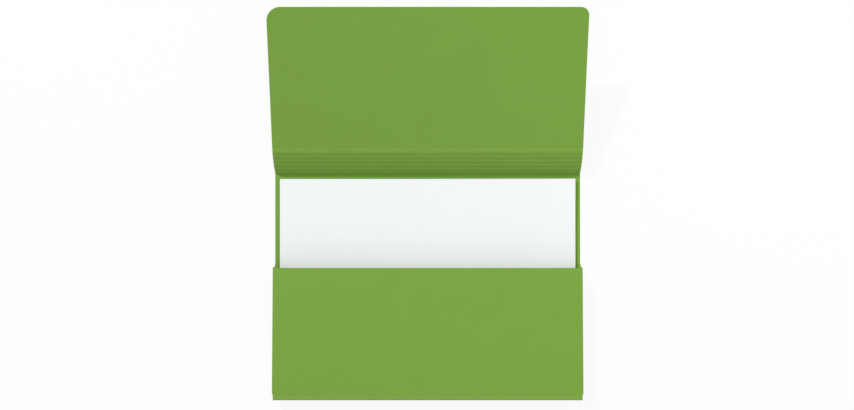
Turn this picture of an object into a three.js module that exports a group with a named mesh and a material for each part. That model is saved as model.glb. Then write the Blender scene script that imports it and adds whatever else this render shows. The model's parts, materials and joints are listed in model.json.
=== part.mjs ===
// Card document wallet for A4 sheets, lying open on its back with sheets in its pocket.
// Millimetres and degrees. X runs across the wallet, Y towards the flap, Z up.
// The origin is the centre of the back panel's underside.
//
// The wallet is one die-cut card blank, scored, folded and glued. Each panel or strip
// between two creases is a mesh of its own, so that every crease can be a hinge.
// A crease's axis lies in the middle of the card's thickness.

import * as THREE from 'three';

// Paper in the pocket
const SHEET_WIDTH = 297;
const SHEET_HEIGHT = 210;
const BUNDLE_COUNT = 4;
const BUNDLE_THICKNESS = 0.4; // four sheets
const BUNDLE_GAP = 0.1; // under each bundle of sheets
const BUNDLE_SHIFT = 0.3; // bundles lie this far to either side of square

// Card, and the room that it leaves round the sheets
const CARD_THICKNESS = 0.4;
const SIDE_ROOM = 5.25;
const HEAD_ROOM = 5.7;
const FOOT_ROOM = 7.8;
const CREASE_CLEARANCE = 0.2; // left between two panels when their crease is bent the most

// Flap and the ribbed spine that it hangs on
const FLAP_LENGTH = 137;
const FLAP_CORNER_RADIUS = 10;
const FLAP_ANGLE = 14.4;
const SPINE_STRIPS = 6;
const SPINE_STRIP_WIDTH = 5;
const SPINE_FIRST_ANGLE = 51; // beside the back panel
const SPINE_LAST_ANGLE = 23; // beside the flap

// Bottom gusset, from the back panel up to the pocket's front
const BOTTOM_STRIPS = 5;
const BOTTOM_STRIP_WIDTH = 5;
const BOTTOM_INSET = 0.8; // each end stops short of the panels' side edges
const BOTTOM_FIRST_ANGLE = 110; // above 90 leans out, away from the flap
const BOTTOM_ANGLE_STEP = 11.5; // each standing strip leans in by this much more
const BOTTOM_LAST_ANGLE = 8; // the last strip lies back, nearly level with the front

// Pocket front
const POCKET_DEPTH = 125.1;
const POCKET_CORNER_RADIUS = 1;
const MOUTH_GAP = 12.4; // between the sheets and the front at the mouth
const PRESS_ANGLE = 2; // how far the front can be pressed down towards the sheets

// Side gussets: an upper wall on the front and a lower wall on the back, lapped as a pleat
const UPPER_WALL_DEPTH = 9.5;
const WALL_SEAT_GAP = 0.3; // between the front's underside and the upper wall
const PLEAT_GAP = 0.3;
const LOWER_WALL_CLEARANCE = 0.5; // left under the front when it is pressed down
const LOWER_WALL_FOOT_ROOM = 4.5; // between the wall's foot end and the bottom crease
const UPPER_WALL_FOOT_ROOM = 0.5;
const EAR_REACH = 3.7; // the upper wall's tip stands this far out of the mouth
const EAR_HEIGHT = 1.2;
const EAR_STEPS = 8;

// Glued tabs that hold the side gussets to the back panel
const TAB_WIDTH = 13;
const TAB_END_SETBACK = 2;
const GLUE_THICKNESS = 0.1;
const GLUE_GAP = 0.05;
const GLUE_MARGIN = 1.5;

// Sizes that follow from the ones above
const walletWidth = SHEET_WIDTH + 2 * SIDE_ROOM;
const backLength = FOOT_ROOM + SHEET_HEIGHT + HEAD_ROOM;
const headCreaseY = backLength / 2;
const footCreaseY = -backLength / 2;
const closedBend = 180 / (SPINE_STRIPS + 1); // each spine crease's share of the closed fold
const glueBottom = CARD_THICKNESS + GLUE_GAP;
const tabBottom = glueBottom + GLUE_THICKNESS + GLUE_GAP;
const tabTop = tabBottom + CARD_THICKNESS;
const stackTop = tabTop + BUNDLE_COUNT * (BUNDLE_THICKNESS + BUNDLE_GAP);

const card = new THREE.MeshStandardMaterial({ name: 'card', color: '#7ba547', roughness: 0.85 });
const paper = new THREE.MeshStandardMaterial({ name: 'paper', color: '#f3f5f7', roughness: 0.9 });
const glue = new THREE.MeshStandardMaterial({ name: 'glue', color: '#e6dfc4', roughness: 0.5 });

const radians = THREE.MathUtils.degToRad;

// The gap that two panels need so that their faces stay apart at a crease bent this far
function creaseGap(bend) {
  return CARD_THICKNESS * Math.tan(radians(Math.abs(bend)) / 2) + CREASE_CLEARANCE;
}

// A crease across its parent panel: what is added to it turns about the crease's axis
function crease(parent, distance, turn) {
  const fold = new THREE.Group();
  fold.position.y = distance;
  fold.rotation.x = radians(turn);
  parent.add(fold);
  return fold;
}

// A flat panel of card that starts just past its crease and ends at the given distance
function cardPanel(name, width, start, end, cornerRadius = 0) {
  const side = width / 2;
  const outline = new THREE.Shape();
  outline.moveTo(-side, start);
  outline.lineTo(side, start);
  if (cornerRadius > 0) {
    outline.lineTo(side, end - cornerRadius);
    outline.absarc(side - cornerRadius, end - cornerRadius, cornerRadius, 0, Math.PI / 2);
    outline.lineTo(-side + cornerRadius, end);
    outline.absarc(-side + cornerRadius, end - cornerRadius, cornerRadius, Math.PI / 2, Math.PI);
  } else {
    outline.lineTo(side, end);
    outline.lineTo(-side, end);
  }
  outline.closePath();
  const geometry = new THREE.ExtrudeGeometry(outline, {
    depth: CARD_THICKNESS,
    bevelEnabled: false,
    curveSegments: 10,
  });
  geometry.translate(0, 0, -CARD_THICKNESS / 2);
  const panel = new THREE.Mesh(geometry, card);
  panel.name = name;
  return panel;
}

// An upright wall of card whose outline is drawn in Y and Z, with its inner face at x
function cardWall(name, outline, x) {
  const geometry = new THREE.ExtrudeGeometry(outline, { depth: CARD_THICKNESS, bevelEnabled: false });
  const outlineAlong = new THREE.Vector3(0, 1, 0);
  const outlineUp = new THREE.Vector3(0, 0, 1);
  const thickness = new THREE.Vector3(1, 0, 0);
  geometry.applyMatrix4(new THREE.Matrix4().makeBasis(outlineAlong, outlineUp, thickness));
  const wall = new THREE.Mesh(geometry, card);
  wall.name = name;
  wall.position.x = x;
  return wall;
}

// A block with its lowest face at the given height
function block(name, material, width, length, height, x, y, bottom) {
  const mesh = new THREE.Mesh(new THREE.BoxGeometry(width, length, height), material);
  mesh.name = name;
  mesh.position.set(x, y, bottom + height / 2);
  return mesh;
}

// Back panel, from the foot crease to the head crease
function addBackPanel(back) {
  const headGap = creaseGap(SPINE_FIRST_ANGLE);
  const footGap = creaseGap(180 - BOTTOM_FIRST_ANGLE);
  back.add(cardPanel('back_panel', walletWidth, footCreaseY + footGap / 2, headCreaseY - headGap / 2));
}

// Slope of a spine strip: strip 1 is beside the back panel and the flap follows the last one
function spineSlope(strip) {
  if (strip === 0) {
    return 0;
  }
  if (strip > SPINE_STRIPS) {
    return FLAP_ANGLE;
  }
  const share = (strip - 1) / (SPINE_STRIPS - 1);
  return SPINE_FIRST_ANGLE + share * (SPINE_LAST_ANGLE - SPINE_FIRST_ANGLE);
}

// Spine strips, one past the other, with the flap beyond the last crease
function addSpineAndFlap(back) {
  const turnAt = (strip) => spineSlope(strip) - spineSlope(strip - 1);
  const gapAt = (strip) => creaseGap(Math.max(Math.abs(turnAt(strip)), closedBend));
  let fold = crease(back, headCreaseY, turnAt(1));
  for (let strip = 1; strip <= SPINE_STRIPS; strip += 1) {
    const end = SPINE_STRIP_WIDTH - gapAt(strip + 1) / 2;
    fold.add(cardPanel(`spine_strip_${strip}`, walletWidth, gapAt(strip) / 2, end));
    fold = crease(fold, SPINE_STRIP_WIDTH, turnAt(strip + 1));
  }
  const flapStart = gapAt(SPINE_STRIPS + 1) / 2;
  fold.add(cardPanel('flap', walletWidth, flapStart, FLAP_LENGTH, FLAP_CORNER_RADIUS));
}

// Slope of a bottom strip: strip 1 is beside the back panel
function bottomSlope(strip) {
  if (strip === BOTTOM_STRIPS) {
    return BOTTOM_LAST_ANGLE;
  }
  return BOTTOM_FIRST_ANGLE - (strip - 1) * BOTTOM_ANGLE_STEP;
}

// Height of the crease between the bottom gusset and the pocket's front
function frontCreaseHeight() {
  let height = CARD_THICKNESS / 2;
  for (let strip = 1; strip <= BOTTOM_STRIPS; strip += 1) {
    height += BOTTOM_STRIP_WIDTH * Math.sin(radians(bottomSlope(strip)));
  }
  return height;
}

// The front falls from its crease to the mouth, which stays clear of the sheets
function frontSlope() {
  const mouthHeight = stackTop + MOUTH_GAP + CARD_THICKNESS / 2;
  return THREE.MathUtils.radToDeg(Math.asin((mouthHeight - frontCreaseHeight()) / POCKET_DEPTH));
}

// Bottom gusset and, past its last crease, the pocket's front with the upper side walls
function addPocket(back) {
  const footTurn = bottomSlope(1) - 180;
  const turnAt = (strip) => (strip === 1 ? footTurn : bottomSlope(strip) - bottomSlope(strip - 1));
  const frontTurn = frontSlope() - bottomSlope(BOTTOM_STRIPS);
  const frontGap = creaseGap(frontTurn);
  let fold = crease(back, footCreaseY, bottomSlope(1));
  for (let strip = 1; strip <= BOTTOM_STRIPS; strip += 1) {
    const gapAfter = strip === BOTTOM_STRIPS ? frontGap : creaseGap(turnAt(strip + 1));
    const start = creaseGap(turnAt(strip)) / 2;
    const end = BOTTOM_STRIP_WIDTH - gapAfter / 2;
    fold.add(cardPanel(`bottom_strip_${strip}`, walletWidth - 2 * BOTTOM_INSET, start, end));
    fold = crease(fold, BOTTOM_STRIP_WIDTH, strip === BOTTOM_STRIPS ? frontTurn : turnAt(strip + 1));
  }
  fold.add(cardPanel('pocket_front', walletWidth, frontGap / 2, POCKET_DEPTH, POCKET_CORNER_RADIUS));
  addUpperWalls(fold);
}

// Upper side walls hang under the front's side edges. At the mouth each ends in a hollow
// curve that leaves an ear along its lower edge.
function addUpperWalls(front) {
  const top = -CARD_THICKNESS / 2 - WALL_SEAT_GAP;
  const bottom = top - UPPER_WALL_DEPTH;
  const curveHeight = UPPER_WALL_DEPTH - EAR_HEIGHT;
  const outline = new THREE.Shape();
  outline.moveTo(UPPER_WALL_FOOT_ROOM, bottom);
  outline.lineTo(POCKET_DEPTH + EAR_REACH, bottom);
  for (let step = 0; step <= EAR_STEPS; step += 1) {
    const angle = (step / EAR_STEPS) * (Math.PI / 2);
    const reach = EAR_REACH * (1 - Math.sin(angle));
    outline.lineTo(POCKET_DEPTH + reach, top - curveHeight * Math.cos(angle));
  }
  outline.lineTo(UPPER_WALL_FOOT_ROOM, top);
  outline.closePath();
  const outerFace = walletWidth / 2;
  front.add(cardWall('left_gusset_upper', outline, -outerFace));
  front.add(cardWall('right_gusset_upper', outline, outerFace - CARD_THICKNESS));
}

// Lower side walls stand on the back panel, inside the upper ones. Their top edges stay
// clear of the front when it is pressed down.
function addLowerWalls(root) {
  let creaseY = footCreaseY;
  for (let strip = 1; strip <= BOTTOM_STRIPS; strip += 1) {
    creaseY += BOTTOM_STRIP_WIDTH * Math.cos(radians(bottomSlope(strip)));
  }
  const fall = Math.tan(radians(PRESS_ANGLE - frontSlope()));
  const room = CARD_THICKNESS / 2 + LOWER_WALL_CLEARANCE;
  const topAt = (y) => frontCreaseHeight() - room - (y - creaseY) * fall;
  const footY = footCreaseY + LOWER_WALL_FOOT_ROOM;
  const mouthY = creaseY + POCKET_DEPTH * Math.cos(radians(frontSlope()));
  const bottom = (tabBottom + tabTop) / 2 + creaseGap(90) / 2;
  const outline = new THREE.Shape();
  outline.moveTo(footY, bottom);
  outline.lineTo(mouthY, bottom);
  outline.lineTo(mouthY, topAt(mouthY));
  outline.lineTo(footY, topAt(footY));
  outline.closePath();
  const outerFace = walletWidth / 2 - CARD_THICKNESS - PLEAT_GAP;
  const innerFace = outerFace - CARD_THICKNESS;
  root.add(cardWall('left_gusset_lower', outline, -outerFace));
  root.add(cardWall('right_gusset_lower', outline, innerFace));

  const tabOuter = (outerFace + innerFace) / 2 - creaseGap(90) / 2;
  const tabX = tabOuter - TAB_WIDTH / 2;
  const tabY = (footY + mouthY) / 2;
  const tabLength = mouthY - footY - 2 * TAB_END_SETBACK;
  const glueWidth = TAB_WIDTH - 2 * GLUE_MARGIN;
  const glueLength = tabLength - 2 * GLUE_MARGIN;
  for (const [side, sign] of [['left', -1], ['right', 1]]) {
    const x = sign * tabX;
    root.add(block(`${side}_glue_tab`, card, TAB_WIDTH, tabLength, CARD_THICKNESS, x, tabY, tabBottom));
    root.add(block(`${side}_glue_line`, glue, glueWidth, glueLength, GLUE_THICKNESS, x, tabY, glueBottom));
  }
}

// Sheets, in bundles that lie on the glued tabs, each a little out of line with the next
function addSheets(root) {
  const centreY = footCreaseY + FOOT_ROOM + SHEET_HEIGHT / 2;
  for (let bundle = 1; bundle <= BUNDLE_COUNT; bundle += 1) {
    const below = tabTop + (bundle - 1) * (BUNDLE_THICKNESS + BUNDLE_GAP);
    const shift = bundle % 2 === 0 ? BUNDLE_SHIFT : -BUNDLE_SHIFT;
    const bottom = below + BUNDLE_GAP;
    const name = `sheet_bundle_${bundle}`;
    root.add(block(name, paper, SHEET_WIDTH, SHEET_HEIGHT, BUNDLE_THICKNESS, -shift, centreY + shift, bottom));
  }
}

const wallet = new THREE.Group();
const back = new THREE.Group();
back.position.z = CARD_THICKNESS / 2;
wallet.add(back);
addBackPanel(back);
addSpineAndFlap(back);
addPocket(back);
addLowerWalls(wallet);
addSheets(wallet);

export default wallet;
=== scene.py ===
"""An open A4 document wallet of green card, with a stack of paper in its pocket, seen from above."""
import json
import math
import random

import bmesh
import bpy
from mathutils import Matrix, Vector, noise


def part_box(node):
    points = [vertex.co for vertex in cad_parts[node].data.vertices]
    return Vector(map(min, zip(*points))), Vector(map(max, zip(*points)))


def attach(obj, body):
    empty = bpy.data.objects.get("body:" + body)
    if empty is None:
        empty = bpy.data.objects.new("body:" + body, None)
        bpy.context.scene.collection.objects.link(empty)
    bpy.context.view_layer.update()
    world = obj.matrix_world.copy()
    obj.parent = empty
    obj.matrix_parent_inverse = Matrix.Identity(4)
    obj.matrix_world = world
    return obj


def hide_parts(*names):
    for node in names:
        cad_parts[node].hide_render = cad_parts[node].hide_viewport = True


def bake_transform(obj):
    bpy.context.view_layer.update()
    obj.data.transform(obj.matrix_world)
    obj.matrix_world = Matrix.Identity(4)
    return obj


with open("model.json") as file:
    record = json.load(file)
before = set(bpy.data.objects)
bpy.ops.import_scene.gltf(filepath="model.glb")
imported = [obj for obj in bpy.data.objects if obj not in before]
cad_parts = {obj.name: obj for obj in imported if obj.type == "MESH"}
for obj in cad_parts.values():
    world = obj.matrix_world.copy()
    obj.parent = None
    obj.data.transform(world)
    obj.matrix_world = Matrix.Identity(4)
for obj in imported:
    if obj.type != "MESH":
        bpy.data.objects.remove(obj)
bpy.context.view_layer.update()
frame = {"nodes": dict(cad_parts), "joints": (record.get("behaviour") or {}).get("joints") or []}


# Camera
# It hangs 0.89 m above the wallet and looks straight down.
CAMERA_PLACE = (-0.00066, 0.0797, 0.8928)
CAMERA_LENS = 37.29         # millimetres
CAMERA_SENSOR = 36          # millimetres across

lens = bpy.data.cameras.new("camera")
lens.lens = CAMERA_LENS
lens.sensor_width = CAMERA_SENSOR
camera = bpy.data.objects.new("camera", lens)
camera.location = CAMERA_PLACE
bpy.context.scene.collection.objects.link(camera)
bpy.context.scene.camera = camera
bpy.context.scene.view_settings.view_transform = "Standard"


# Floor and light
# A plain pale floor that reads as white and keeps a faint shadow. Half of the light is an even
# glow from all round. A soft key lamp stands beyond the flap's left corner, a weak one close by on
# the right and another low in front.
FLOOR_SIZE = 12.0
FLOOR_DROP = 0.0003
FLOOR_COLOUR = (0.9, 0.9, 0.9, 1)
FLOOR_WHITENESS = 0.90      # share of plain white in what the camera sees of the floor
WHITE = (1, 1, 1, 1)
GLOW_LEVEL = 0.50
LAMP_AIM = (0, 0.08, 0)
LAMPS = (                   # direction, distance, level on a sheet that lies flat, size
    ("key_lamp", (-0.85, 1.34, 1.0), 3.0, 0.375, 0.20),
    ("side_lamp", (0.9, 0.2, 0.9), 0.75, 0.12, 0.50),
    ("front_lamp", (0.2, -2.6, 1.0), 3.0, 0.035, 1.40),
)


def camera_ray(nodes, links):
    """1 for rays from the camera, straight or by way of glass or gloss"""
    path = nodes.new("ShaderNodeLightPath")
    glossy = nodes.new("ShaderNodeMath")
    glossy.operation = "MAXIMUM"
    links.new(path.outputs["Is Camera Ray"], glossy.inputs[0])
    links.new(path.outputs["Is Glossy Ray"], glossy.inputs[1])
    clear = nodes.new("ShaderNodeMath")
    clear.operation = "MAXIMUM"
    links.new(glossy.outputs[0], clear.inputs[0])
    links.new(path.outputs["Is Transmission Ray"], clear.inputs[1])
    return clear.outputs[0]


bpy.ops.object.select_all(action="DESELECT")
bpy.ops.mesh.primitive_plane_add(size=FLOOR_SIZE, location=(0, 0, -FLOOR_DROP))
floor = bpy.context.object
floor.name = "floor"

floor_paint = bpy.data.materials.new("floor_paint")
floor_paint.use_nodes = True
nodes, links = floor_paint.node_tree.nodes, floor_paint.node_tree.links
nodes.clear()
lit = nodes.new("ShaderNodeBsdfDiffuse")
lit.inputs["Color"].default_value = FLOOR_COLOUR
white = nodes.new("ShaderNodeEmission")
white.inputs["Strength"].default_value = 1.0
share = nodes.new("ShaderNodeMath")
share.operation = "MULTIPLY"
share.inputs[1].default_value = FLOOR_WHITENESS
links.new(camera_ray(nodes, links), share.inputs[0])
mixed = nodes.new("ShaderNodeMixShader")
links.new(share.outputs[0], mixed.inputs[0])
links.new(lit.outputs[0], mixed.inputs[1])
links.new(white.outputs[0], mixed.inputs[2])
output = nodes.new("ShaderNodeOutputMaterial")
links.new(mixed.outputs[0], output.inputs["Surface"])
floor.data.materials.append(floor_paint)

world = bpy.data.worlds.new("glow")
bpy.context.scene.world = world
world.use_nodes = True
nodes, links = world.node_tree.nodes, world.node_tree.links
nodes.clear()
glow = nodes.new("ShaderNodeBackground")
glow.inputs["Strength"].default_value = GLOW_LEVEL
glow.inputs["Color"].default_value = WHITE
seen = nodes.new("ShaderNodeBackground")
seen.inputs["Color"].default_value = WHITE
mixed = nodes.new("ShaderNodeMixShader")
links.new(camera_ray(nodes, links), mixed.inputs[0])
links.new(glow.outputs[0], mixed.inputs[1])
links.new(seen.outputs[0], mixed.inputs[2])
output = nodes.new("ShaderNodeOutputWorld")
links.new(mixed.outputs[0], output.inputs["Surface"])

for name, towards, distance, level, size in LAMPS:
    direction = Vector(towards).normalized()
    data = bpy.data.lights.new(name, "AREA")
    data.shape = "DISK"
    data.size = size
    data.energy = level * math.pi ** 2 * distance ** 2 / direction.z
    lamp = bpy.data.objects.new(name, data)
    lamp.location = Vector(LAMP_AIM) + direction * distance
    lamp.rotation_euler = direction.to_track_quat("Z", "Y").to_euler()
    bpy.context.scene.collection.objects.link(lamp)


# Card
# The wallet is one die-cut blank of dyed card, scored, folded and glued. Every panel and fold is
# modelled flat, where it lies in the blank, and keeps that place in its "blank" attribute, so that
# the card's mottle runs on over the folds.
CARD = 0.0004
CARD_COLOUR = (0.184, 0.354, 0.051)
CARD_PALE = (0.315, 0.535, 0.085)       # where it is worn and rubbed, and where highlights and light are painted
CARD_MOTTLE = (0.965, 1.035)            # darkest and lightest, as shares of the colour
CARD_FIBRES = 0.20                      # how much paler its fibres are
CARD_GRAIN = {"Cloud Size": 0.03, "Floc Size": 0.0022, "Fibre Size": 0.00045}
CARD_ROUGHNESS = (0.74, 0.86)
CARD_GLOSS = 0.18
CARD_BUMP = (0.6, 0.00008)              # strength and depth
# Painted shade along the creases, as a share of the card's colour
PAINTED_SHADE_SHARE = 0.66
FOLD_REACH = 0.0008         # a fold's piece runs this far to both sides of its score
RIM_ROUNDING = 0.00007
RIM_SEGMENTS = 2
RIM_WIDTH = 0.0003
RIM_WEAR = 0.35
SMOOTH_ANGLE = math.radians(40)
TINY = 1e-6                 # places closer than this are one and the same


def add_paper_grain():
    """Node group: the cloudy mottle, felt-like fibres and surface height of card and paper"""
    cloud_share, floc_share = 0.35, 0.65
    fibre_rise, floc_rise = 0.7, 0.5
    fibre_lean = (0, 0, 0.6)
    group = bpy.data.node_groups.new("paper_grain", "ShaderNodeTree")
    face = group.interface
    face.new_socket("Vector", in_out="INPUT", socket_type="NodeSocketVector")
    for name in ("Cloud Size", "Floc Size", "Fibre Size"):
        face.new_socket(name, in_out="INPUT", socket_type="NodeSocketFloat")
    for name in ("Mottle", "Fibres", "Height"):
        face.new_socket(name, in_out="OUTPUT", socket_type="NodeSocketFloat")
    nodes, links = group.nodes, group.links
    inside = nodes.new("NodeGroupInput")
    outside = nodes.new("NodeGroupOutput")

    def per_metre(socket_name):
        node = nodes.new("ShaderNodeMath")
        node.operation = "DIVIDE"
        node.inputs[0].default_value = 1.0
        links.new(inside.outputs[socket_name], node.inputs[1])
        return node.outputs[0]

    def pattern(socket_name, detail, distortion, stretch=None):
        place = inside.outputs["Vector"]
        if stretch:
            mapping = nodes.new("ShaderNodeMapping")
            mapping.inputs["Scale"].default_value = stretch
            mapping.inputs["Rotation"].default_value = fibre_lean
            links.new(place, mapping.inputs["Vector"])
            place = mapping.outputs[0]
        node = nodes.new("ShaderNodeTexNoise")
        node.inputs["Detail"].default_value = detail
        node.inputs["Roughness"].default_value = 0.6
        node.inputs["Distortion"].default_value = distortion
        links.new(place, node.inputs["Vector"])
        links.new(per_metre(socket_name), node.inputs["Scale"])
        return node.outputs["Fac"]

    def combine(operation, first, second):
        node = nodes.new("ShaderNodeMath")
        node.operation = operation
        for socket, value in zip(node.inputs, (first, second)):
            if isinstance(value, (int, float)):
                socket.default_value = value
            else:
                links.new(value, socket)
        return node.outputs[0]

    clouds = pattern("Cloud Size", detail=2, distortion=0.4)
    flocs = pattern("Floc Size", detail=3, distortion=1.2)
    fibres_along = pattern("Fibre Size", detail=2, distortion=1.5, stretch=(1, 0.3, 1))
    fibres_across = pattern("Fibre Size", detail=2, distortion=1.5, stretch=(0.35, 1, 1))
    mottle = combine("ADD", combine("MULTIPLY", clouds, cloud_share),
                     combine("MULTIPLY", flocs, floc_share))
    fibres = combine("MAXIMUM", fibres_along, fibres_across)
    height = combine("ADD", combine("MULTIPLY", fibres, fibre_rise),
                     combine("MULTIPLY", flocs, floc_rise))
    links.new(mottle, outside.inputs["Mottle"])
    links.new(fibres, outside.inputs["Fibres"])
    links.new(height, outside.inputs["Height"])
    return group


paper_grain = add_paper_grain()


def shaded_from(colour, factor):
    return tuple(min(1.0, c * factor) for c in colour[:3]) + (1,)


def range_node(nodes, links, value, low, high, to_low, to_high):
    node = nodes.new("ShaderNodeMapRange")
    node.inputs["From Min"].default_value = low
    node.inputs["From Max"].default_value = high
    node.inputs["To Min"].default_value = to_low
    node.inputs["To Max"].default_value = to_high
    links.new(value, node.inputs["Value"])
    return node.outputs["Result"]


def colour_mix(nodes, links, factor, first, second):
    node = nodes.new("ShaderNodeMix")
    node.data_type = "RGBA"
    sockets = (node.inputs["Factor"], node.inputs[6], node.inputs[7])
    for socket, value in zip(sockets, (factor, first, second)):
        if isinstance(value, tuple):
            socket.default_value = value
        else:
            links.new(value, socket)
    return node.outputs[2]


def add_grain(nodes, links, place, sizes):
    """The grain's node in a material, with the place that it reads and its sizes"""
    grain = nodes.new("ShaderNodeGroup")
    grain.node_tree = paper_grain
    for name, size in sizes.items():
        grain.inputs[name].default_value = size
    links.new(place, grain.inputs["Vector"])
    return grain


def roughen(nodes, links, shader, grain, roughness, gloss, bump):
    """The surface of card or paper: how rough and glossy it is, and how far its grain stands up"""
    rough = range_node(nodes, links, grain.outputs["Fibres"], 0.35, 0.8, *roughness)
    links.new(rough, shader.inputs["Roughness"])
    shader.inputs["Specular IOR Level"].default_value = gloss
    strength, depth = bump
    raised = nodes.new("ShaderNodeBump")
    raised.inputs["Strength"].default_value = strength
    raised.inputs["Distance"].default_value = depth
    links.new(grain.outputs["Height"], raised.inputs["Height"])
    links.new(raised.outputs["Normal"], shader.inputs["Normal"])


def add_card_material():
    material = bpy.data.materials.new("green_card")
    material.use_nodes = True
    nodes, links = material.node_tree.nodes, material.node_tree.links
    shader = nodes["Principled BSDF"]
    pale = CARD_PALE + (1,)

    def kept(name):
        node = nodes.new("ShaderNodeAttribute")
        node.attribute_name = name
        return node

    def streaks(stretch, detail, low, high, least):
        """Noise from least to 1, drawn out along the creases: stretch is its waves in a metre"""
        mapping = nodes.new("ShaderNodeMapping")
        mapping.inputs["Scale"].default_value = stretch
        links.new(blank.outputs["Vector"], mapping.inputs["Vector"])
        pattern = nodes.new("ShaderNodeTexNoise")
        pattern.inputs["Scale"].default_value = 1.0
        pattern.inputs["Detail"].default_value = detail
        links.new(mapping.outputs[0], pattern.inputs["Vector"])
        return range_node(nodes, links, pattern.outputs["Fac"], low, high, least, 1)

    def masked(name, pattern):
        node = nodes.new("ShaderNodeMath")
        node.operation = "MULTIPLY"
        node.use_clamp = True
        links.new(kept(name).outputs["Fac"], node.inputs[0])
        links.new(pattern, node.inputs[1])
        return node.outputs[0]

    blank = kept("blank")
    grain = add_grain(nodes, links, blank.outputs["Vector"], CARD_GRAIN)
    dark, light = (shaded_from(CARD_COLOUR, share) for share in CARD_MOTTLE)
    mottle = range_node(nodes, links, grain.outputs["Mottle"], 0.3, 0.7, 0, 1)
    body = colour_mix(nodes, links, mottle, dark, light)
    fibres = range_node(nodes, links, grain.outputs["Fibres"], 0.45, 0.8, 0, CARD_FIBRES)
    body = colour_mix(nodes, links, fibres, body, pale)

    dashes = streaks((330, 900, 900), detail=6, low=0.42, high=0.62, least=0.28)
    stretches = streaks((28, 500, 500), detail=5, low=0.3, high=0.65, least=0.45)
    faint = streaks((14, 500, 500), detail=4, low=0.3, high=0.7, least=0.8)
    # Paler middles of the strips: painted light on the spine, rubbing and a painted highlight on the
    # foot
    body = colour_mix(nodes, links, masked("rubbed", faint), body, pale)
    # Pale dashes of wear along folds and cut edges, with painted highlights on the flap crease and
    # the pocket's bottom edge
    body = colour_mix(nodes, links, masked("wear", dashes), body, pale)
    # Painted shade along the creases
    body = colour_mix(nodes, links, masked("pressed", stretches), body,
                      shaded_from(CARD_COLOUR, PAINTED_SHADE_SHARE))
    links.new(body, shader.inputs["Base Color"])
    roughen(nodes, links, shader, grain, CARD_ROUGHNESS, CARD_GLOSS, CARD_BUMP)
    return material


green_card = add_card_material()


def pick(piece, faces=None, edges=None):
    """Selects only the faces or edges of the piece in edit mode that pass the test"""
    mesh = bmesh.from_edit_mesh(piece.data)
    for kind in (mesh.verts, mesh.edges, mesh.faces):
        for part in kind:
            part.select = False
    chosen = [f for f in mesh.faces if faces(f)] if faces else [e for e in mesh.edges if edges(e)]
    for part in chosen:
        part.select = True
    bpy.context.tool_settings.mesh_select_mode = (False, not faces, bool(faces))
    mesh.select_flush_mode()
    bmesh.update_edit_mesh(piece.data)


def open_edit(piece):
    bpy.ops.object.select_all(action="DESELECT")
    bpy.context.view_layer.objects.active = piece
    piece.select_set(True)
    bpy.ops.object.mode_set(mode="EDIT")


def cut_across(places, axis):
    """Cuts the whole mesh in edit mode by planes at these places on one axis"""
    normal = tuple(1.0 if i == axis else 0.0 for i in range(3))
    for place in places:
        bpy.ops.mesh.select_all(action="SELECT")
        bpy.ops.mesh.bisect(plane_co=tuple(place * n for n in normal), plane_no=normal)


def spaced(start, end, step):
    """Places between start and end, evenly spaced by about step"""
    count = max(1, round(abs(end - start) / step))
    return [start + (end - start) * i / count for i in range(1, count)]


def add_block(name, centre, size):
    """A block that is the start of a piece"""
    bpy.ops.object.select_all(action="DESELECT")
    bpy.ops.mesh.primitive_cube_add(size=1, location=centre)
    piece = bpy.context.object
    piece.name = piece.data.name = name
    piece.scale = size
    bpy.ops.object.transform_apply(location=True, rotation=True, scale=True)
    return piece


def flat_card(name, width, length, start):
    """A rectangle of card, its length running from start along Y, lying on its middle plane"""
    return add_block(name, (0, start + length / 2, 0), (width, length, CARD))


def along(edge, axis):
    """Whether an edge runs along an axis"""
    line = edge.verts[1].co - edge.verts[0].co
    return abs(line[axis]) > 0.999 * line.length


def note(piece, name, kind, values):
    """Keeps a value for each vertex as an attribute"""
    attribute = piece.data.attributes.new(name, kind, "POINT")
    field = "vector" if kind == "FLOAT_VECTOR" else "value"
    flat = [x for v in values for x in v] if kind == "FLOAT_VECTOR" else list(values)
    attribute.data.foreach_set(field, flat)


def finish_card(piece, blank_start=0.0, blank_way=1, **marks):
    """Notes where the flat piece lies in the blank, how far a fold or cut edge is worn paler in
    dashes, on some folds with a painted highlight, how far a strip's middle is painted paler as
    rubbing and painted light, and how far a crease is painted darker as painted shade"""
    places = [v.co.copy() for v in piece.data.vertices]
    in_blank = [(c.x, blank_start + blank_way * c.y, c.z) for c in places]
    note(piece, "blank", "FLOAT_VECTOR", in_blank)
    for name in ("wear", "rubbed", "pressed"):
        note(piece, name, "FLOAT", [marks[name](c) if name in marks else 0.0 for c in places])


def settle(piece, matrix, body=None, nodes=()):
    """Puts a finished flat piece in its place, gives it the card and makes it ride on its body"""
    piece.data.transform(matrix)
    bpy.ops.object.select_all(action="DESELECT")
    piece.select_set(True)
    bpy.context.view_layer.objects.active = piece
    bpy.ops.object.shade_smooth_by_angle(angle=SMOOTH_ANGLE)
    piece.data.materials.append(green_card)
    if nodes:
        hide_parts(*nodes)
    if body:
        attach(piece, body)


def heading_frame(place, heading, outward=1):
    """Matrix that lays a flat piece along a heading in the YZ plane, its inner face towards +Z.
    outward -1 is for the pocket's side of the blank, which runs the other way from the back."""
    along_y = Vector((0, math.cos(heading), math.sin(heading)))
    across = Vector((outward, 0, 0))
    inner = across.cross(along_y)
    matrix = Matrix((across, along_y, inner)).transposed().to_4x4()
    matrix.translation = Vector((0, *place))
    return matrix


# Back panel
# The panel that the wallet lies on, 307.5 mm wide, between the spine's first crease and the
# foot's. Its two sides are cut edges.
WALLET_WIDTH = 0.3075
HEAD_CREASE = 0.11175
FOOT_CREASE = -0.11175
FLAT_GRID = 0.020           # how far apart a panel's cuts are
BOWED_GRID = 0.010          # and those of a panel that bows
CORNER_SEGMENTS = 14


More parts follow.
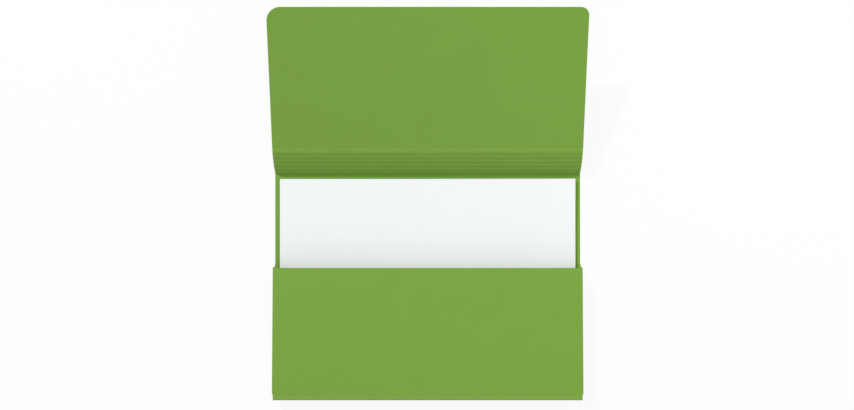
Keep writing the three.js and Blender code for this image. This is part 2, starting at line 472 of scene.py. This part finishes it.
def cut_panel(name, width, length, corners=None, free_end=False, grid=FLAT_GRID, row=None):
    """A flat panel between a fold at FOLD_REACH and the next one, or a free end with round corners"""
    end = length if free_end else length - FOLD_REACH
    piece = flat_card(name, width, end - FOLD_REACH, FOLD_REACH)
    half = width / 2
    open_edit(piece)
    for side, corner in zip((-1, 1), corners or ()):
        pick(piece, edges=lambda e: along(e, 2) and side * e.verts[0].co.x > half - TINY
             and e.verts[0].co.y > end - TINY)
        bpy.ops.mesh.bevel(offset=corner, offset_type="OFFSET", segments=CORNER_SEGMENTS,
                           affect="EDGES")
    pick(piece, faces=lambda f: abs(f.normal.z) > 0.9)
    bpy.ops.mesh.inset(thickness=RIM_WIDTH, depth=0, use_boundary=True)

    def on_rim(e):
        first, second = (v.co for v in e.verts)
        middle = (first + second) / 2
        level = abs(abs(middle.z) - CARD / 2) < TINY and abs(first.z - second.z) < TINY
        upright = any(abs(f.normal.z) < 0.1 for f in e.link_faces)
        at_fold = abs(middle.y - FOLD_REACH) < TINY
        at_next_fold = not free_end and abs(middle.y - end) < TINY
        return level and upright and not at_fold and not at_next_fold

    pick(piece, edges=on_rim)
    bpy.ops.mesh.bevel(offset=RIM_ROUNDING, offset_type="OFFSET", segments=RIM_SEGMENTS,
                       affect="EDGES")
    cut_across(spaced(-half, half, grid), 0)
    cut_across(spaced(FOLD_REACH, end, row or grid), 1)
    bpy.ops.object.mode_set(mode="OBJECT")

    def rim_wear(c):
        across = half - abs(c.x)
        down = end - c.y if free_end else 1.0
        corner = corners[c.x > 0] if corners else 0.0
        if across < corner and down < corner:
            off = corner - math.hypot(corner - across, corner - down)
        else:
            off = min(across, down)
        return RIM_WEAR if off < RIM_WIDTH / 2 else 0.0

    return piece, rim_wear


back, back_wear = cut_panel("card_back", WALLET_WIDTH, HEAD_CREASE - FOOT_CREASE)
finish_card(back, FOOT_CREASE, 1, wear=back_wear)
settle(back, heading_frame((FOOT_CREASE, CARD / 2), 0.0), "back", ["back_panel"])


# Spine
# Six 5 mm strips between seven scored creases, so that the wallet swells to take up to 30 mm of
# paper. The card curls up from the back panel and leans back towards the flap.
STRIP = 0.005
STRIP_ROW = 0.0006          # how far apart the cuts along a strip are
FLAP_SLOPE = math.radians(14.4)
SPINE_CREASES = [f"spine_crease_{k}" for k in range(1, 7)] + ["flap_crease"]
RIB_PAINTED_LIGHT = (0.14, 0.26, 0.40, 0.40, 0.23, 0.32)     # how far each strip's middle is painted paler on its inner face, as painted light
PALE_EDGE = 0.1              # share of the paling's half wave that falls outside a strip on a side

crease_place = {j["name"]: Vector(j["pos_m"]).yz for j in frame["joints"] if "pos_m" in j}
spine_headings = []
for first, second in zip(SPINE_CREASES, SPINE_CREASES[1:]):
    run = crease_place[second] - crease_place[first]
    spine_headings.append(math.atan2(run.y, run.x))


def pale_strip_middle(amount, face):
    """A strip's middle is painted paler, on its inner face (1) or its outer face (-1): on the spine
    strips as painted light, on the foot as rubbing and a painted highlight
    """
    def rubbed(c):
        share = (c.y - FOLD_REACH) / (STRIP - 2 * FOLD_REACH)
        wave = math.sin(math.pi * (PALE_EDGE + (1 - 2 * PALE_EDGE) * share))
        return amount * wave if face * c.z > 0 else 0.0
    return rubbed


for k, heading in enumerate(spine_headings):
    strip, strip_wear = cut_panel(f"card_spine_{k + 1}", WALLET_WIDTH, STRIP, row=STRIP_ROW)
    finish_card(strip, HEAD_CREASE + k * STRIP, 1, wear=strip_wear, rubbed=pale_strip_middle(RIB_PAINTED_LIGHT[k], 1))
    where = heading_frame(crease_place[SPINE_CREASES[k]], heading)
    settle(strip, where, f"spine_{k + 1}", [f"spine_strip_{k + 1}"])


# Folds
# Each crease was pressed by a blunt rule: a shallow groove on one face, on the other a thin raised
# bead. The spine's beads are on the inside, the flap's on the outside, and the card bends in a
# small round over them.
FOLD_ROWS = 16
FOLD_GRID = 0.008           # how far apart the cuts across a fold are
BEND_STEPS = 64
BEAD_HEIGHT = 0.00013
GROOVE_DEPTH = 0.00009
SCORE_WIDTH = 0.0011
SCORE_UNEVEN = 0.25         # how much the rule's pressure varies
SCORE_WAVE = 60             # and how often in a metre
SCORE_APART = 7.3           # how far apart in the noise two folds lie
# The dark lines along the creases are painted shade, this wide
PAINTED_SHADE_WIDTH = 0.0013
INNER_MARK_SHIFT = 0.0007   # the inner face's wear and painted highlight lie this far before the score
# Pale dashes on each crease's inner and outer face: wear, and on the flap crease's inner face mostly
# a painted highlight on the groove's lit side
FOLD_WEAR_AND_HIGHLIGHT = [(0.0, 0.2)] + [(0.1, 0.2)] * 5 + [(2.5, 0.3)]     # of the inner and the outer face
# How dark a painted shade lies along each crease, from the back panel's crease to the flap's
FOLD_PAINTED_SHADE = (1.0, 0.2, 0.35, 0.55, 0.65, 0.7, 0.0)
FOLD_RISE = [1.0] * 6 + [-0.5]


def bent_place(c, reach, bend, eased=True):
    """Where a point of the flat strip goes when the strip is bent about its score"""
    share = min(1.0, max(0.0, (c.y + reach) / (2 * reach)))

    def turn(t):
        return bend * (t * t * (3 - 2 * t) if eased else t)

    line = [Vector((0.0, 0.0))]
    for i in range(BEND_STEPS):
        middle = turn((i + 0.5) / BEND_STEPS)
        line.append(line[-1] + Vector((math.cos(middle), math.sin(middle))) / BEND_STEPS)
    length = 2 * reach * math.cos(bend / 2) / line[-1].length
    at = share * BEND_STEPS
    low = min(int(at), BEND_STEPS - 1)
    spot = line[low].lerp(line[low + 1], at - low) * length
    angle = turn(share)
    return Vector((c.x, -reach + spot.x - c.z * math.sin(angle), spot.y + c.z * math.cos(angle)))


def card_fold(name, width, reach=FOLD_REACH, rows=FOLD_ROWS):
    """A strip of card across a crease, still flat"""
    piece = flat_card(name, width, 2 * reach, -reach)
    half = width / 2
    open_edit(piece)
    pick(piece, edges=lambda e: along(e, 1))
    bpy.ops.mesh.bevel(offset=RIM_ROUNDING, offset_type="OFFSET", segments=RIM_SEGMENTS,
                       affect="EDGES")
    pick(piece, edges=lambda e: along(e, 1))
    bpy.ops.mesh.subdivide(number_cuts=rows - 1)
    cut_across([-half + RIM_WIDTH, half - RIM_WIDTH], 0)
    cut_across(spaced(-half, half, FOLD_GRID), 0)
    bpy.ops.object.mode_set(mode="OBJECT")
    return piece


def score_profile(y):
    """The rule's rounded print across a score: 1 at its middle, 0 at its sides"""
    return 0.5 + 0.5 * math.cos(2 * math.pi * y / SCORE_WIDTH) if abs(y) < SCORE_WIDTH / 2 else 0.0


def press_score(piece, seed, rise):
    """Presses the rule's groove into one face, which raises the bead on the other: on the inner
    face where rise is above 0, on the outer one where it is below"""
    for vertex in piece.data.vertices:
        c = vertex.co
        uneven = 1 + SCORE_UNEVEN * noise.noise((c.x * SCORE_WAVE, seed * SCORE_APART, 0.0))
        depth = BEAD_HEIGHT if c.z * rise > 0 else GROOVE_DEPTH
        c.z += rise * depth * uneven * score_profile(c.y)


def fold_wear(half, inner, outer):
    """Wear over a fold, with a painted highlight on some folds: on the inner face just before its
    score, on the outer face right over it
    """
    def wear(c):
        rim = RIM_WEAR if half - abs(c.x) < RIM_WIDTH / 2 else 0.0
        if c.z > 0:
            return max(rim, inner * score_profile(c.y + INNER_MARK_SHIFT))
        return max(rim, outer * score_profile(c.y))
    return wear


def make_fold(name, width, bend, place, heading, blank_start, seed, wear, way=1, pressed=0.0,
              rise=1.0):
    """A scored fold, bent by bend: the wear and painted highlight of its inner and outer face, how
    dark a painted shade lies on its inner face and how high its bead rises, on the outer face where
    rise is below 0"""
    piece = card_fold(name, width)

    def darker(c):
        return pressed * score_profile(c.y * SCORE_WIDTH / PAINTED_SHADE_WIDTH) if c.z > 0 else 0.0

    finish_card(piece, blank_start, way, wear=fold_wear(width / 2, *wear), pressed=darker)
    press_score(piece, seed, rise)
    for vertex in piece.data.vertices:
        vertex.co = bent_place(vertex.co, FOLD_REACH, bend)
    settle(piece, heading_frame(place, heading, way))
    return piece


def blend_fold(piece):
    """Bakes the fold's place into its mesh; the fold is left on no body"""
    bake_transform(piece)


headings = [0.0] + spine_headings + [FLAP_SLOPE]
for k, crease in enumerate(SPINE_CREASES):
    bend = headings[k + 1] - headings[k]
    fold = make_fold(f"fold_{crease}", WALLET_WIDTH, bend, crease_place[crease], headings[k],
                     HEAD_CREASE + k * STRIP, seed=k, wear=FOLD_WEAR_AND_HIGHLIGHT[k],
                     pressed=FOLD_PAINTED_SHADE[k], rise=FOLD_RISE[k])
    blend_fold(fold)


# Flap
# The cover that folds over the pocket, 137 mm long, with its two free corners cut round. The
# corners have curled up a little and the card bows slightly across its width.
FLAP_LENGTH = 0.137
FLAP_CORNERS = (0.0135, 0.0080)      # left and right
CORNER_CURL = 0.0010
FLAP_BOW = 0.0006
BOW_CREST = 0.15            # how far right of the middle the bow is highest, as a share of the width

flap, flap_wear = cut_panel("card_flap", WALLET_WIDTH, FLAP_LENGTH, FLAP_CORNERS, free_end=True,
                            grid=BOWED_GRID)
finish_card(flap, HEAD_CREASE + 6 * STRIP, 1, wear=flap_wear)
for vertex in flap.data.vertices:
    c = vertex.co
    out = max(0.0, (c.y - FOLD_REACH) / FLAP_LENGTH)
    side = abs(c.x) / (WALLET_WIDTH / 2)
    curl = CORNER_CURL * side ** 4 * out ** 3
    bow = FLAP_BOW * out ** 2 * math.cos(math.pi * (c.x / WALLET_WIDTH - BOW_CREST))
    c.z += curl + bow
settle(flap, heading_frame(crease_place["flap_crease"], FLAP_SLOPE), "flap", ["flap"])


# Foot
# The gusset along the pocket's foot: four strips that stand up in a bow and a fifth that lies
# back to the pocket's edge, all a little narrower than the panels.
FOOT_HEADINGS = [math.radians(a) for a in (110.0, 98.5, 87.0, 75.5, 8.0)]
FOOT_INSET = 0.0008         # on either side
FOOT_WIDTH = WALLET_WIDTH - 2 * FOOT_INSET
# The fifth fold's outer face, the pocket's bottom edge, carries a painted highlight over its wear
FOOT_WEAR_AND_HIGHLIGHT = [(0.0, 0.5), (0.0, 0.3), (0.0, 0.3), (0.0, 0.3), (0.0, 2.0)]
FOOT_RUB_AND_LIGHT = (0.0, 0.08, 0.12, 0.12, 0.35)        # how far each strip's outer face is painted paler: rubbing, with a painted highlight on the fifth

place = Vector((FOOT_CREASE, CARD / 2))
headings = [math.pi] + FOOT_HEADINGS
for k, heading in enumerate(FOOT_HEADINGS):
    bend = headings[k] - headings[k + 1]
    fold = make_fold(f"fold_foot_{k + 1}", FOOT_WIDTH, bend, place, headings[k],
                     FOOT_CREASE - k * STRIP, seed=10 + k, wear=FOOT_WEAR_AND_HIGHLIGHT[k], way=-1)
    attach(fold, "back")
    strip, strip_wear = cut_panel(f"card_foot_{k + 1}", FOOT_WIDTH, STRIP, row=STRIP_ROW)
    finish_card(strip, FOOT_CREASE - k * STRIP, -1, wear=strip_wear,
                rubbed=pale_strip_middle(FOOT_RUB_AND_LIGHT[k], -1))
    settle(strip, heading_frame(place, heading, -1), "back", [f"bottom_strip_{k + 1}"])
    place = place + STRIP * Vector((math.cos(heading), math.sin(heading)))


# Pocket
# The pocket's front, 125 mm deep, which slopes down a little to its mouth. Its sides turn down
# into the side gussets along a fold that rides with it.
POCKET_PLACE = crease_place["front_crease"]
POCKET_DEPTH = 0.1251
POCKET_HEADING = math.radians(-2.187)
POCKET_DIP = 0.0006         # how far the middle of the mouth has sunk
GUSSET_MIDDLE = 0.15355     # from the wallet's middle to the middle of a side gusset's wall
SIDE_REACH = 0.0005

bend = FOOT_HEADINGS[-1] - POCKET_HEADING
blank_start = FOOT_CREASE - 5 * STRIP
fold = make_fold("fold_pocket", FOOT_WIDTH, bend, POCKET_PLACE, FOOT_HEADINGS[-1], blank_start,
                 seed=20, wear=(0.0, 0.35), way=-1)
blend_fold(fold)

front_width = 2 * (GUSSET_MIDDLE - SIDE_REACH)
front, front_wear = cut_panel("card_pocket", front_width, POCKET_DEPTH, free_end=True,
                              grid=BOWED_GRID)
finish_card(front, blank_start, -1, wear=front_wear)
for vertex in front.data.vertices:
    c = vertex.co
    out = max(0.0, (c.y - FOLD_REACH) / POCKET_DEPTH)
    c.z -= POCKET_DIP * out ** 2 * math.cos(math.pi * c.x / front_width)
settle(front, heading_frame(POCKET_PLACE, POCKET_HEADING, -1), "front", ["pocket_front"])


# Side gussets
# On each side the front's card turns down into an upper wall, whose ear stands out of the mouth.
# A lower wall stands up from the back panel inside it, folded from a tab that is glued down.
EAR_LEAN = {-1: 0.00085, 1: 0.00055}        # left and right
EAR_START = 0.00015         # the lean starts so far beyond the mouth, clear of the lower wall
EAR_BEND = 0.0011           # and is whole this far on
EAR_CUTS = 4
SIDE_ROWS = 10
FLAT_ANGLE = math.radians(1)        # faces that turn less are one flat face
CUT_ANGLE = math.radians(30)        # and edges that turn more are cut ones


def soften_edges(piece, width):
    """Rounds a piece's cut edges by a bevel of this width"""
    bpy.context.view_layer.objects.active = piece
    softened = piece.modifiers.new("softened", "BEVEL")
    softened.width = width
    softened.segments = RIM_SEGMENTS
    softened.limit_method = "ANGLE"
    softened.angle_limit = CUT_ANGLE
    bpy.ops.object.modifier_apply(modifier=softened.name)


def card_from_node(name, node, body, cuts=(), shape=None):
    """A card piece with the outline of its node, its cut edges softened, cut across where the
    shape bends it. Its place on the wallet stands for its place in the blank."""
    source = frame["nodes"][node]
    piece = bpy.data.objects.new(name, source.data.copy())
    piece.data.name = name
    piece.data.materials.clear()
    bpy.context.scene.collection.objects.link(piece)
    open_edit(piece)
    bpy.ops.mesh.select_all(action="SELECT")
    bpy.ops.mesh.remove_doubles(threshold=TINY)
    bpy.ops.mesh.dissolve_limited(angle_limit=FLAT_ANGLE)
    bpy.ops.object.mode_set(mode="OBJECT")
    soften_edges(piece, RIM_ROUNDING)
    if cuts:
        open_edit(piece)
        cut_across(cuts, 1)
        bpy.ops.object.mode_set(mode="OBJECT")
        for vertex in piece.data.vertices:
            shape(vertex.co)
    finish_card(piece)
    settle(piece, Matrix.Identity(4), body, [node])


def side_fold(name, side, middle, run_heading, length, reach, inner_up, body):
    """A right-angled fold along a panel's side edge, turning towards the panel's inner face"""
    piece = card_fold(name, length, reach=reach, rows=SIDE_ROWS)
    finish_card(piece, side * GUSSET_MIDDLE, side)
    for vertex in piece.data.vertices:
        vertex.co = bent_place(vertex.co, reach, math.pi / 2, eased=False)
    out = Vector((side, 0, 0))
    inner = inner_up * Vector((0, -math.sin(run_heading), math.cos(run_heading)))
    matrix = Matrix((out.cross(inner), out, inner)).transposed().to_4x4()
    matrix.translation = middle
    settle(piece, matrix, body)


mouth = POCKET_PLACE.x + POCKET_DEPTH * math.cos(POCKET_HEADING)


def lean_ear(side):
    """Beyond the mouth the ear has no front to hold it, so it leans in towards the sheets"""
    def lean(c):
        out = min(1.0, max(0.0, (c.y - mouth - EAR_START) / EAR_BEND))
        c.x -= side * EAR_LEAN[side] * out * out * (3 - 2 * out)
    return lean


ear_cuts = [mouth + EAR_START + EAR_BEND * i / EAR_CUTS for i in range(EAR_CUTS + 1)]
for side, hand in ((-1, "left"), (1, "right")):
    card_from_node(f"card_upper_gusset_{hand}", f"{hand}_gusset_upper", "front", ear_cuts,
                   lean_ear(side))
    card_from_node(f"card_lower_gusset_{hand}", f"{hand}_gusset_lower", "back")
    card_from_node(f"card_tab_{hand}", f"{hand}_glue_tab", "back")

    run = Vector((0, math.cos(POCKET_HEADING), math.sin(POCKET_HEADING)))
    middle = Vector((side * GUSSET_MIDDLE, *POCKET_PLACE)) + run * (POCKET_DEPTH + FOLD_REACH) / 2
    side_fold(f"fold_side_{hand}", side, middle, POCKET_HEADING, POCKET_DEPTH - FOLD_REACH,
              SIDE_REACH, -1, "front")

    tab_low, tab_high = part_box(f"{hand}_glue_tab")
    wall_low, wall_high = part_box(f"{hand}_gusset_lower")
    wall_x = (wall_low.x + wall_high.x) / 2
    tab_y = (tab_low.y + tab_high.y) / 2
    tab_z = (tab_low.z + tab_high.z) / 2
    side_fold(f"fold_tab_{hand}", side, Vector((wall_x, tab_y, tab_z)), 0.0,
              tab_high.y - tab_low.y, wall_low.z - tab_z, 1, "back")


# Glue
# A line of dried glue under each tab holds the side gusset to the back panel. It was squeezed
# between the two, so its edge is a little ragged.
GLUE_COLOUR = (0.79, 0.74, 0.55)
GLUE_SHADES = (0.9, 1.1)
GLUE_ROUGHNESS = (0.3, 0.5)
GLUE_STREAKS = 260          # in a metre
GLUE_GRID = 0.003
GLUE_RAGGED = 0.0006        # how far its edge is drawn in where it is drawn in most
GLUE_WAVES = (40, 180)      # how often across and along, in a metre
GLUE_APART = 3.1            # how far from the middle of the noise each line lies
GLUE_ROUNDING = 0.00004

glue_material = bpy.data.materials.new("dried_glue")
glue_material.use_nodes = True
nodes, links = glue_material.node_tree.nodes, glue_material.node_tree.links
shader = nodes["Principled BSDF"]
where = nodes.new("ShaderNodeTexCoord")
streaks = nodes.new("ShaderNodeTexNoise")
streaks.inputs["Scale"].default_value = GLUE_STREAKS
streaks.inputs["Detail"].default_value = 3
links.new(where.outputs["Object"], streaks.inputs["Vector"])
dark, light = (shaded_from(GLUE_COLOUR, share) for share in GLUE_SHADES)
tone = colour_mix(nodes, links, streaks.outputs["Fac"], dark, light)
links.new(tone, shader.inputs["Base Color"])
rough = range_node(nodes, links, streaks.outputs["Fac"], 0.3, 0.7, *GLUE_ROUGHNESS)
links.new(rough, shader.inputs["Roughness"])
shader.inputs["Specular IOR Level"].default_value = 0.5

for side, hand in ((-1, "left"), (1, "right")):
    low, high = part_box(f"{hand}_glue_line")
    line = add_block(f"glue_{hand}", (low + high) / 2, high - low)
    open_edit(line)
    cut_across(spaced(low.y, high.y, GLUE_GRID), 1)
    bpy.ops.object.mode_set(mode="OBJECT")
    centre_x = (low.x + high.x) / 2
    for vertex in line.data.vertices:
        c = vertex.co
        spot = (c.y * GLUE_WAVES[1], side * GLUE_APART, c.x * GLUE_WAVES[0])
        share = 0.5 + 0.5 * noise.noise(spot)
        c.x += math.copysign(GLUE_RAGGED * share, centre_x - c.x)
    soften_edges(line, GLUE_ROUNDING)
    bpy.ops.object.shade_smooth_by_angle(angle=SMOOTH_ANGLE)
    line.data.materials.append(glue_material)
    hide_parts(f"{hand}_glue_line")
    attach(line, "back")


# Sheets
# Sixteen loose A4 sheets of white office paper, laid landscape, no two quite square with each
# other. They come in four bundles, one for each that can slide by itself. Beyond the glued tabs
# they sink onto the back panel, and their top right corners have curled up a little.
SHEET = (0.297, 0.210)
SHEET_COUNT = 4             # in a bundle
SHEET_THICKNESS = 0.000094
SHEET_GRID = 0.008
SHEET_JITTER = 0.00018      # how far a sheet has slipped in its bundle
SHEET_TURN = 0.02           # and turned, in degrees
BUNDLE_COUNT = 4
BUNDLE_TURN = (-0.03, 0.05, 0.08, 0.13)      # degrees
BUNDLE_SHIFT = ((0, 0), (0.0001, -0.0006), (0, 0), (0.0003, -0.0007))
BUNDLE_SINK = (0.00060, 0.00055, 0.00050, 0.00045)
SINK_START = 0.024          # just beyond the tabs, also when the sheets have slid down
SINK_LENGTH = 0.070
CURL_HEIGHT = 0.0019
CURL_DOWN = 0.075           # how far the curl runs down the right edge and in from it
CURL_IN = 0.032
PAPER_COLOUR = (0.896, 0.913, 0.93)
PAPER_MOTTLE = (0.99, 1.008)
PAPER_GRAIN = {"Cloud Size": 0.02, "Floc Size": 0.0016, "Fibre Size": 0.0003}
PAPER_ROUGHNESS = (0.82, 0.92)
PAPER_GLOSS = 0.25
PAPER_BUMP = (0.2, 0.00003)

white_paper = bpy.data.materials.new("white_paper")
white_paper.use_nodes = True
nodes, links = white_paper.node_tree.nodes, white_paper.node_tree.links
shader = nodes["Principled BSDF"]
where = nodes.new("ShaderNodeTexCoord")
grain = add_grain(nodes, links, where.outputs["Object"], PAPER_GRAIN)
dark, light = (shaded_from(PAPER_COLOUR, share) for share in PAPER_MOTTLE)
mottle = range_node(nodes, links, grain.outputs["Mottle"], 0.3, 0.7, 0, 1)
links.new(colour_mix(nodes, links, mottle, dark, light), shader.inputs["Base Color"])
roughen(nodes, links, shader, grain, PAPER_ROUGHNESS, PAPER_GLOSS, PAPER_BUMP)

one_sheet = add_block("one_sheet", (0, 0, 0), (*SHEET, SHEET_THICKNESS))
open_edit(one_sheet)
cut_across(spaced(-SHEET[0] / 2, SHEET[0] / 2, SHEET_GRID), 0)
cut_across(spaced(-SHEET[1] / 2, SHEET[1] / 2, SHEET_GRID), 1)
bpy.ops.object.mode_set(mode="OBJECT")


def lay_sheet(leaf, curl, sink, centre_y):
    """Sinks a sheet that still lies at the origin onto the back panel and curls its corner up"""
    for vertex in leaf.data.vertices:
        c = vertex.co
        sunk = min(1.0, max(0.0, (c.y + centre_y - SINK_START) / SINK_LENGTH))
        down = max(0.0, 1 - (SHEET[1] / 2 - c.y) / CURL_DOWN)
        inward = max(0.0, 1 - (SHEET[0] / 2 - c.x) / CURL_IN)
        c.z += curl * down ** 2 * inward ** 2 - sink * sunk * sunk * (3 - 2 * sunk)


chance = random.Random(4)
for k in range(BUNDLE_COUNT):
    low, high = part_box(f"sheet_bundle_{k + 1}")
    centre = (low + high) / 2
    pitch = (high.z - low.z) / SHEET_COUNT
    leaves = []
    for i in range(SHEET_COUNT):
        leaf = bpy.data.objects.new("leaf", one_sheet.data.copy())
        bpy.context.scene.collection.objects.link(leaf)
        turn = math.radians(BUNDLE_TURN[k] + chance.uniform(-SHEET_TURN, SHEET_TURN))
        slip = Vector((chance.uniform(-1, 1), chance.uniform(-1, 1), 0)) * SHEET_JITTER
        level = Vector((centre.x, centre.y, low.z + pitch * (i + 0.5)))
        place = level + slip + Vector((*BUNDLE_SHIFT[k], 0))
        curl = CURL_HEIGHT * (k * SHEET_COUNT + i + 1) / (BUNDLE_COUNT * SHEET_COUNT)
        lay_sheet(leaf, curl, BUNDLE_SINK[k], centre.y)
        leaf.data.transform(Matrix.Translation(place) @ Matrix.Rotation(turn, 4, "Z"))
        leaves.append(leaf)
    bpy.ops.object.select_all(action="DESELECT")
    for leaf in leaves:
        leaf.select_set(True)
    bpy.context.view_layer.objects.active = leaves[0]
    bpy.ops.object.join()
    bundle = bpy.context.object
    bundle.name = bundle.data.name = f"sheets_{k + 1}"
    bundle.data.materials.append(white_paper)
    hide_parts(f"sheet_bundle_{k + 1}")
    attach(bundle, f"bundle_{k + 1}")
bpy.data.objects.remove(one_sheet)
